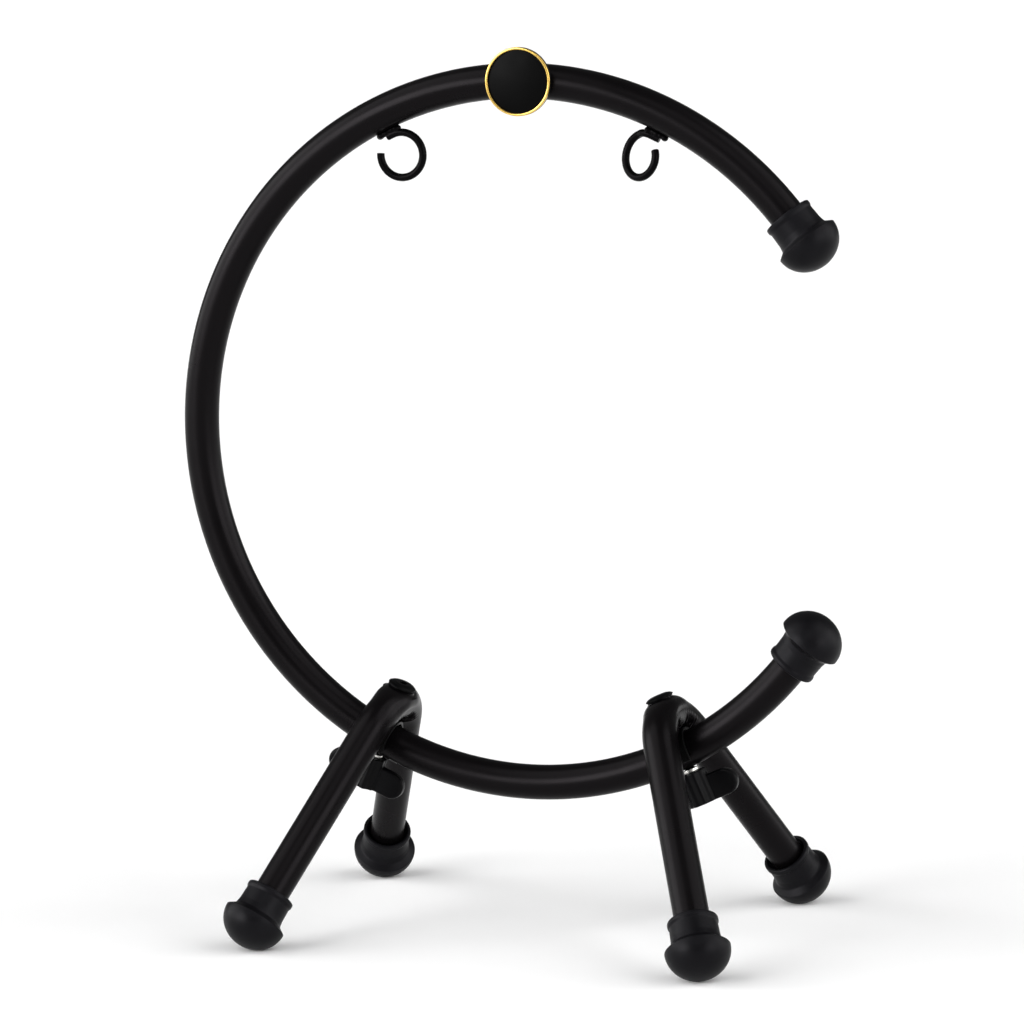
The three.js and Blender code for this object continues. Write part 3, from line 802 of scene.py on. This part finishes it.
def leg_tip_matrix(end):
    """A leg's tip in the clamp's frame."""
    bend = LEG_HALF_ANGLE_OF_BEND
    along = Vector((0, end * math.cos(bend), -math.sin(bend)))
    tangent = Vector((0, end * math.sin(bend), math.cos(bend))) * LEG_BEND_RADIUS
    centre = Vector((0, 0, LEG_APEX - LEG_BEND_RADIUS))
    return placed_along(centre + tangent + along * (LEG_STRAIGHT - TIP_RIM_LENGTH), along)


def pressed_to_floor(mesh):
    """A foot whose dome is pressed flat where it meets the floor."""
    for vertex in mesh.vertices:
        vertex.co.z = max(vertex.co.z, 0)
    return mesh


# Clamp pieces, each in the clamp's frame
def saddle_mesh():
    """Strip bent over the ring: a half round with two short flanks, its edges eased."""
    outlines = []
    middle = SADDLE_INNER_RADIUS + (SADDLE_OUTER_RADIUS - SADDLE_INNER_RADIUS) / 2
    for height, inset in rounding_rows(SADDLE_WIDTH, SADDLE_EASE):
        inner = SADDLE_INNER_RADIUS + inset
        outer = SADDLE_OUTER_RADIUS - inset
        lip = (outer - inner) / 2
        low = -SADDLE_FLANK + inset
        x = height - SADDLE_WIDTH / 2
        outline = []
        for radius, flank, start, way in ((outer, -middle, 0, 1), (inner, middle, 1, -1)):
            for step in range(SADDLE_STEPS + 1):
                turn = math.pi * (start + way * step / SADDLE_STEPS)
                outline.append(Vector((x, radius * math.cos(turn), radius * math.sin(turn))))
            for step in range(SADDLE_LIP_STEPS + 1):
                turn = math.pi * step / SADDLE_LIP_STEPS
                spot = (x, flank - lip * math.cos(turn), low + lip - lip * math.sin(turn))
                outline.append(Vector(spot))
        outlines.append(outline)
    strip = layered("saddle", outlines)
    return cut(strip, rod_cutter("saddle drill", BOLT_HOLE_RADIUS, 0, 2 * SADDLE_OUTER_RADIUS))


THREADED_ROD_SIZES = {
    "Radius": FLOAT,
    "Length": FLOAT,
    "Plain length": FLOAT,
    "Pitch": FLOAT,
    "Thread depth": FLOAT,
    "Chamfer": FLOAT,
    "Finish": FINISH,
}


def threaded_rod_tree():
    """Rod down from zero: a plain part, then a V thread that ends in a chamfer."""
    tree, make, size = size_tree("Threaded rod", THREADED_ROD_SIZES)
    turns = make.math("DIVIDE", size["Length"], size["Pitch"])
    rod = make.add("GeometryNodeMeshCylinder", {
        "Vertices": BOLT_SIDES,
        "Side Segments": make.math("ROUND", make.times(turns, 10.0)),
        "Radius": size["Radius"],
        "Depth": size["Length"],
    })
    parts = make.add("ShaderNodeSeparateXYZ", {0: make.add("GeometryNodeInputPosition").outputs[0]}).outputs
    height = make.minus(parts[2], make.times(size["Length"], 0.5))
    turn = make.math("DIVIDE", make.math("ARCTAN2", parts[1], parts[0]), 2 * math.pi)
    coil = make.minus(make.math("DIVIDE", height, size["Pitch"]), turn)

    # Thread depth from zero on its crest to one in its root, faded in below the plain part
    tooth = make.times(make.math("PINGPONG", coil, 0.5), 2.0)
    below = make.minus(make.times(height, -1.0), size["Plain length"])
    start = make.ramp(below, 0.0, make.times(size["Pitch"], 1.5))
    groove = make.times(make.times(tooth, start), size["Thread depth"])
    tail = make.plus(height, size["Length"])
    bevel = make.math("MAXIMUM", make.minus(size["Chamfer"], tail), 0.0)
    radius = make.minus(make.minus(size["Radius"], groove), bevel)
    squares = [make.math("POWER", part, 2.0) for part in (parts[0], parts[1])]
    across = make.math("SQRT", make.plus(*squares))
    share = make.math("DIVIDE", radius, make.math("MAXIMUM", across, 0.1 * MM))
    outer = make.math("GREATER_THAN", across, make.times(size["Radius"], 0.5))
    share = make.math("MULTIPLY_ADD", outer, make.minus(share, 1.0), 1.0)
    x = make.times(parts[0], share)
    y = make.times(parts[1], share)
    spot = make.add("ShaderNodeCombineXYZ", {"X": x, "Y": y, "Z": height}).outputs[0]
    done = make.add("GeometryNodeSetPosition", {"Geometry": rod.outputs["Mesh"], "Position": spot})
    close_tree(make, done.outputs[0], size["Finish"])
    return tree


THREADED_ROD = threaded_rod_tree()


def bolt_mesh():
    """Low button head with a hexagon socket, underside at zero, threaded shank towards -Z."""
    rod = grown_mesh(THREADED_ROD, "shank", {
        "Radius": BOLT_RADIUS,
        "Length": BOLT_LENGTH + BOLT_SINK,
        "Plain length": BOLT_PLAIN_LENGTH,
        "Pitch": BOLT_PITCH,
        "Thread depth": BOLT_THREAD_DEPTH,
        "Chamfer": BOLT_CHAMFER,
        "Finish": BOLT_BLACK,
    })
    corners = [
        (0, 0, 0),
        (BOLT_HEAD_RADIUS - 0.8 * MM, 0, 0.2 * MM),
        (BOLT_HEAD_RADIUS - 0.8 * MM, 0.8 * MM, 0.2 * MM),
        (BOLT_HEAD_RADIUS, 1.1 * MM, 0.2 * MM),
        (BOLT_HEAD_RADIUS, 1.9 * MM, 0.3 * MM),
        (8.5 * MM, 3.1 * MM, 3 * MM),
        (5.6 * MM, BOLT_HEAD_HEIGHT - 0.1 * MM, 3 * MM),
        (0, BOLT_HEAD_HEIGHT, 0),
    ]
    head = turned("head", rounded(corners), ROUND_SIDES)
    flats = BOLT_SOCKET_FLATS / 2 / math.cos(math.pi / 6)
    floor = BOLT_HEAD_HEIGHT - BOLT_SOCKET_DEPTH
    above = BOLT_HEAD_HEIGHT + 1.9 * MM
    socket = turned("socket", [
        Vector((0, floor - 0.6 * MM)),
        Vector((flats, floor)),
        Vector((flats, above)),
        Vector((0, above)),
    ], 6)
    mouth = turned("socket mouth", [
        Vector((0, BOLT_HEAD_HEIGHT - 0.7 * MM)),
        Vector((flats - 0.3 * MM, BOLT_HEAD_HEIGHT - 0.7 * MM)),
        Vector((flats + 0.9 * MM, BOLT_HEAD_HEIGHT + 0.5 * MM)),
        Vector((0, BOLT_HEAD_HEIGHT + 0.5 * MM)),
    ], 64)
    whole = combined(head, "UNION", moved(rod, Matrix.Translation((0, 0, BOLT_SINK))))
    return cut(whole, socket, mouth)


def collar_mesh():
    """Turned nut insert: a flange at zero, a plain body below, bored through."""
    corners = [
        (COLLAR_BORE_RADIUS, -COLLAR_LENGTH, 0),
        (COLLAR_BODY_RADIUS, -COLLAR_LENGTH, 0.4 * MM),
        (COLLAR_BODY_RADIUS, -COLLAR_FLANGE_HEIGHT, 0.15 * MM),
        (COLLAR_FLANGE_RADIUS, -COLLAR_FLANGE_HEIGHT, 0.25 * MM),
        (COLLAR_FLANGE_RADIUS, 0, 0.45 * MM),
        (COLLAR_BORE_RADIUS, 0, 0.4 * MM),
        (COLLAR_BORE_RADIUS, -COLLAR_LENGTH, 0),
    ]
    return turned("collar", rounded(corners), ROUND_SIDES)


def fluted_hub():
    outlines = []
    for height, inset in rounding_rows(HUB_TOP - HUB_BOTTOM, HUB_EASE):
        outline = []
        for i in range(HUB_SIDES):
            turn = 2 * math.pi * i / HUB_SIDES
            dip = HUB_FLUTE_DEPTH * (0.5 + 0.5 * math.cos(HUB_FLUTES * turn))
            radius = HUB_RADIUS - dip - inset
            outline.append(Vector((radius * math.cos(turn), radius * math.sin(turn), HUB_BOTTOM + height)))
        outlines.append(outline)
    return layered("hub", outlines)


def nut_wings():
    """One slab through the hub that ends in two round lobes, its edges rounded."""
    outlines = []
    middle = HUB_BOTTOM + WING_END_RADIUS
    for depth, inset in rounding_rows(WING_THICKNESS, WING_EASE, 6):
        outline = []
        for i in range(ROUND_SIDES):
            turn = 2 * math.pi * (i + 0.5) / ROUND_SIDES
            reach = WING_END_RADIUS - inset
            shift = math.copysign(WING_REACH - WING_END_RADIUS, math.cos(turn))
            x = shift + reach * math.cos(turn)
            outline.append(Vector((x, depth - WING_THICKNESS / 2, middle + reach * math.sin(turn))))
        outlines.append(outline)
    return layered("wings", outlines)


def wing_nut_mesh():
    whole = fused("wing nut", NUT_VOXEL, NUT_SMOOTHING, fluted_hub(), nut_wings())
    bore = rod_cutter("nut bore", COLLAR_BORE_RADIUS + POCKET_GAP, HUB_BOTTOM - MM, HUB_TOP + MM)
    floor = COLLAR_TOP - COLLAR_LENGTH - POCKET_GAP
    pocket = rod_cutter("nut pocket", COLLAR_BODY_RADIUS + POCKET_GAP, floor, HUB_TOP + MM)
    return cut(whole, bore, pocket)


# Hooks
HOOK_ROD_SIZES = {
    "Rod radius": FLOAT,
    "Loop radius": FLOAT,
    "Opening angle": FLOAT,
    "Tail": FLOAT,
    "Twist": FLOAT,
    "Twist share": FLOAT,
    "Curl": FLOAT,
    "Steps": WHOLE,
    "Bead radius": FLOAT,
    "Beads": WHOLE,
    "Bead run": FLOAT,
    "Finish": FINISH,
}


def hook_rod_tree():
    """Rod with a straight tail and an open loop below it, and a row of weld beads over the tail."""
    tree, make, size = size_tree("Hook rod", HOOK_ROD_SIZES)

    # Rod whose loop is turned out of the tail's plane and curled in towards its free end
    sweep = make.minus(2 * math.pi, size["Opening angle"])
    around = make.times(sweep, size["Loop radius"])
    line = make.add("GeometryNodeCurvePrimitiveLine", {"End": (0, 0, 1)})
    dense = make.add("GeometryNodeResampleCurve", {"Curve": line.outputs[0], "Count": size["Steps"]})
    share = make.add("GeometryNodeSplineParameter").outputs["Factor"]
    station = make.minus(make.times(share, make.plus(around, size["Tail"])), size["Tail"])
    straight = make.math("MINIMUM", station, 0.0)
    bent = make.math("DIVIDE", make.math("MAXIMUM", station, 0.0), around)
    turn = make.times(bent, sweep)
    tighter = make.times(size["Curl"], make.math("POWER", bent, 3.0))
    radius = make.minus(size["Loop radius"], tighter)
    across = make.math("MULTIPLY_ADD", radius, make.math("SINE", turn), straight)
    height = make.times(radius, make.math("COSINE", turn))
    twist = make.times(size["Twist"], make.ramp(bent, 0.0, size["Twist share"]))
    x = make.times(across, make.math("COSINE", twist))
    y = make.times(across, make.math("SINE", twist))
    spot = make.add("ShaderNodeCombineXYZ", {"X": x, "Y": y, "Z": height})
    path = make.add("GeometryNodeSetPosition", {"Geometry": dense.outputs[0], "Position": spot.outputs[0]})
    hoop = make.add("GeometryNodeCurvePrimitiveCircle", {"Resolution": 32, "Radius": size["Rod radius"]})
    rod = make.add("GeometryNodeCurveToMesh", {"Curve": path.outputs[0], "Profile Curve": hoop.outputs[0]})
    rod.inputs["Fill Caps"].default_value = True

    # Weld beads, each a little out of line
    seam = make.plus(size["Loop radius"], size["Rod radius"])
    low = make.minus(make.times(size["Tail"], -0.5), make.times(size["Bead run"], 0.5))
    start = make.add("ShaderNodeCombineXYZ", {"X": low, "Y": 0.0, "Z": seam}).outputs[0]
    pitch = make.math("DIVIDE", size["Bead run"], make.minus(size["Beads"], 1.0))
    step = make.add("ShaderNodeCombineXYZ", {"X": pitch, "Y": 0.0, "Z": 0.0}).outputs[0]
    row = {"Count": size["Beads"], "Start Location": start, "Offset": step}
    dots = make.add("GeometryNodeMeshLine", row, mode="OFFSET")
    jitter = make.add("FunctionNodeRandomValue", {"Seed": 4}, data_type="FLOAT_VECTOR")
    jitter.inputs[0].default_value = (-0.4 * MM, -0.9 * MM, -0.35 * MM)
    jitter.inputs[1].default_value = (0.4 * MM, 0.9 * MM, 0.25 * MM)
    loose = make.add("GeometryNodeSetPosition", {"Geometry": dots.outputs[0], "Offset": jitter.outputs[0]})
    ball = {"Segments": 20, "Rings": 12, "Radius": size["Bead radius"]}
    spread = make.add("GeometryNodeInstanceOnPoints", {
        "Points": loose.outputs[0],
        "Instance": make.add("GeometryNodeMeshUVSphere", ball).outputs[0],
        "Scale": (1.0, 1.35, 0.95),
    })
    both = make.add("GeometryNodeJoinGeometry")
    make.feed(both.inputs[0], rod.outputs[0])
    make.feed(both.inputs[0], spread.outputs[0])
    close_tree(make, both.outputs[0], size["Finish"])
    return tree


HOOK_ROD = hook_rod_tree()


def hook_mesh(side, tail, opening, twist, curl, bead_run):
    loose = grown_mesh(HOOK_ROD, "hook rod", {
        "Rod radius": HOOK_ROD_RADIUS,
        "Loop radius": HOOK_LOOP_RADIUS,
        "Opening angle": math.radians(opening),
        "Tail": tail,
        "Twist": math.radians(twist),
        "Twist share": HOOK_TWIST_SHARE,
        "Curl": curl,
        "Steps": HOOK_STEPS,
        "Bead radius": WELD_BEAD_RADIUS,
        "Beads": WELD_BEADS,
        "Bead run": bead_run,
        "Finish": HOOK_COAT,
    })
    whole = fused("hook", HOOK_VOXEL, HOOK_SMOOTHING, loose)
    flip = Matrix.Rotation(math.pi if side > 0 else 0, 4, "Z")
    placed = moved(whole, hook_matrix(side) @ flip)
    return cut(placed, ring_core("ring core", TUBE_RADIUS - WELD_BITE))


# Badge, in its own frame: on the tube's axis, front towards +Z before it is stood up
def badge_matrix():
    return Matrix.Translation(ring_point(BADGE_ANGLE)) @ Matrix.Rotation(math.pi / 2, 4, "X")


def badge_body_mesh():
    """Disc with a boss behind it that is cut to the tube's round."""
    corners = [
        (0, BADGE_BACK - BADGE_BOSS_DEPTH, 0),
        (BADGE_BOSS_RADIUS, BADGE_BACK - BADGE_BOSS_DEPTH, 0),
        (BADGE_BOSS_RADIUS, BADGE_BACK, 0.4 * MM),
        (BADGE_RADIUS, BADGE_BACK, 0.35 * MM),
        (BADGE_RADIUS, BADGE_FRONT, 0.2 * MM),
        (0, BADGE_FRONT, 0),
    ]
    disc = moved(turned("badge body", rounded(corners), BADGE_SIDES), badge_matrix())
    return cut(disc, ring_core("badge core", TUBE_RADIUS + BADGE_BOSS_GAP))


def badge_rim_mesh():
    corners = [
        (BADGE_RIM_INNER, BADGE_SEAT, 0),
        (BADGE_RIM_INNER, BADGE_RIM_FRONT - 0.2 * MM, 0.5 * MM),
        (BADGE_RIM_INNER + 0.8 * MM, BADGE_RIM_FRONT, 0.5 * MM),
        (BADGE_RADIUS, BADGE_RIM_FRONT - 0.1 * MM, 0.7 * MM),
        (BADGE_RADIUS, BADGE_SEAT, 0.15 * MM),
        (BADGE_RIM_INNER, BADGE_SEAT, 0),
    ]
    return moved(turned("badge rim", rounded(corners), BADGE_RIM_SIDES), badge_matrix())


def badge_face_mesh():
    """Low dome on a short upright edge."""
    edge = BADGE_SEAT + BADGE_EDGE
    corners = ((0, BADGE_SEAT), (BADGE_FACE_RADIUS, BADGE_SEAT), (BADGE_FACE_RADIUS, edge))
    points = [Vector(corner) for corner in corners]
    for step in range(1, BADGE_FACE_STEPS + 1):
        share = 1 - step / BADGE_FACE_STEPS
        height = edge + (BADGE_DOME - BADGE_EDGE) * (1 - share * share)
        points.append(Vector((BADGE_FACE_RADIUS * share, height)))
    return moved(turned("badge face", points, BADGE_SIDES), badge_matrix())


# Assembly
TIP = tip_mesh()
publish("steel_ring", ring_tube(), FRAME_COAT, "ring", ["ring_tube"])
for node, sign in (("ring_cap_upper", 1), ("ring_cap_lower", -1)):
    mouth = ring_point(sign * RING_MOUTH_ANGLE)
    along = Vector((math.sin(RING_MOUTH_ANGLE), 0, -sign * math.cos(RING_MOUTH_ANGLE)))
    cap = moved(TIP, placed_along(mouth, along))
    publish(node + "_piece", cap, TIP_RUBBER, "ring", [node])

# Side, tail, opening and twist in degrees, curl, and the length of the weld
HOOKS = {
    "hook_left": (-1, 4.5 * MM, 61.6, 0, 0, 15 * MM),
    "hook_right": (1, 7.2 * MM, 49, -29, 3.3 * MM, 14 * MM),
}
for node, sizes in HOOKS.items():
    publish(node + "_piece", hook_mesh(*sizes), HOOK_COAT, "ring", [node], 50)

publish("badge_disc", badge_body_mesh(), BADGE_BLACK, "ring", ["badge_body"])
publish("badge_gold_rim", badge_rim_mesh(), BADGE_GOLD, "ring", ["badge_rim"])
publish("badge_bare_face", badge_face_mesh(), BADGE_GLOSS, "ring", ["badge_face"])

LEG = leg_tube()
SADDLE = saddle_mesh()
BOLT = bolt_mesh()
NUT = wing_nut_mesh()
COLLAR = collar_mesh()
for side, word in ((-1, "left"), (1, "right")):
    clamp = clamp_matrix(side)
    body = word + "_leg"
    tube = moved(LEG, clamp)
    publish(word + "_leg_tube", tube, FRAME_COAT, body, ["leg_" + word])
    strip = moved(SADDLE, clamp)
    publish(word + "_saddle_strip", strip, SADDLE_LINER, body, ["saddle_" + word])
    bolt = moved(BOLT, clamp @ Matrix.Translation((0, 0, HEAD_SEAT)))
    publish(word + "_clamp_bolt", bolt, BOLT_BLACK, body, ["bolt_" + word], 30)
    for end, place in ((-1, "front"), (1, "rear")):
        foot = pressed_to_floor(moved(TIP, clamp @ leg_tip_matrix(end)))
        node = "foot_" + word + "_" + place
        publish(word + "_" + place + "_foot", foot, TIP_RUBBER, body, [node])
    body = word + "_nut"
    nut = moved(NUT, clamp)
    publish(word + "_wing_nut", nut, NUT_PLASTIC, body, ["wing_nut_" + word], 60)
    insert = moved(COLLAR, clamp @ Matrix.Translation((0, 0, COLLAR_TOP)))
    publish(word + "_nut_insert", insert, COLLAR_ZINC, body, ["nut_collar_" + word])


# Studio
def studio_floor():
    mesh = bpy.data.meshes.new("studio floor")
    signs = ((-1, -1), (1, -1), (1, 1), (-1, 1))
    corners = [(x * FLOOR_REACH, y * FLOOR_REACH, FLOOR_LEVEL) for x, y in signs]
    mesh.from_pydata(corners, [], [(0, 1, 2, 3)])
    pale = bpy.data.materials.new("pale floor")
    pale.use_nodes = True
    shader = pale.node_tree.nodes["Principled BSDF"]
    shader.inputs["Base Color"].default_value = (FLOOR_SHADE, FLOOR_SHADE, FLOOR_SHADE, 1)
    shader.inputs["Roughness"].default_value = 0.9
    shader.inputs["Specular IOR Level"].default_value = 0.1
    mesh.materials.append(pale)
    floor = bpy.data.objects.new("studio_floor", mesh)
    bpy.context.scene.collection.objects.link(floor)


def studio_sun(name, azimuth, elevation, strength, spread):
    """A wide sun. The azimuth is taken from the ring's front, and all angles are in degrees."""
    lamp = bpy.data.lights.new(name, "SUN")
    lamp.energy = strength
    lamp.angle = math.radians(spread)
    sun = bpy.data.objects.new(name, lamp)
    across = math.radians(azimuth)
    up = math.radians(elevation)
    towards = Vector((math.sin(across) * math.cos(up), -math.cos(across) * math.cos(up), math.sin(up)))
    sun.rotation_mode = "QUATERNION"
    sun.rotation_quaternion = towards.to_track_quat("Z", "Y")
    sun.location = RING_CENTRE + towards
    bpy.context.scene.collection.objects.link(sun)


def studio_world():
    world = bpy.data.worlds.new("studio surround")
    world.use_nodes = True
    background = world.node_tree.nodes["Background"]
    background.inputs["Color"].default_value = (1, 1, 1, 1)
    background.inputs["Strength"].default_value = SURROUND_STRENGTH
    bpy.context.scene.world = world


def photo_camera():
    back = Vector((
        math.sin(CAMERA_AZIMUTH) * math.cos(CAMERA_ELEVATION),
        -math.cos(CAMERA_AZIMUTH) * math.cos(CAMERA_ELEVATION),
        math.sin(CAMERA_ELEVATION),
    ))
    right = Vector((math.cos(CAMERA_AZIMUTH), math.sin(CAMERA_AZIMUTH), 0))
    up = back.cross(right)
    across = right * math.cos(CAMERA_ROLL) + up * math.sin(CAMERA_ROLL)
    above = up * math.cos(CAMERA_ROLL) - right * math.sin(CAMERA_ROLL)
    lens = bpy.data.cameras.new("photo camera")
    lens.sensor_width = SENSOR_WIDTH
    lens.lens = CAMERA_PIXELS_PER_METRE * CAMERA_DISTANCE / PHOTO_WIDTH * SENSOR_WIDTH
    lens.clip_end = CAMERA_REACH
    camera = bpy.data.objects.new("photo camera", lens)
    place = RING_CENTRE + CAMERA_TARGET + back * CAMERA_DISTANCE
    basis = Matrix((across, above, back)).transposed().to_4x4()
    camera.matrix_world = Matrix.Translation(place) @ basis
    bpy.context.scene.collection.objects.link(camera)
    bpy.context.scene.camera = camera


studio_floor()
studio_world()

# Azimuth, elevation, strength and spread of each lamp
studio_sun("left front softbox", -34, 10, 2.5, 36)
studio_sun("left side softbox", -78, 10, 2.05, 50)
studio_sun("right front softbox", 66, 10, 1.2, 36)
studio_sun("right side softbox", 112, 10, 1.5, 50)
studio_sun("high left softbox", -58, 46, 0.95, 50)
studio_sun("high right softbox", 90, 46, 1.0, 50)
studio_sun("front fill", 20, 42, 0.4, 36)

photo_camera()
bpy.context.scene.view_settings.view_transform = "Standard"
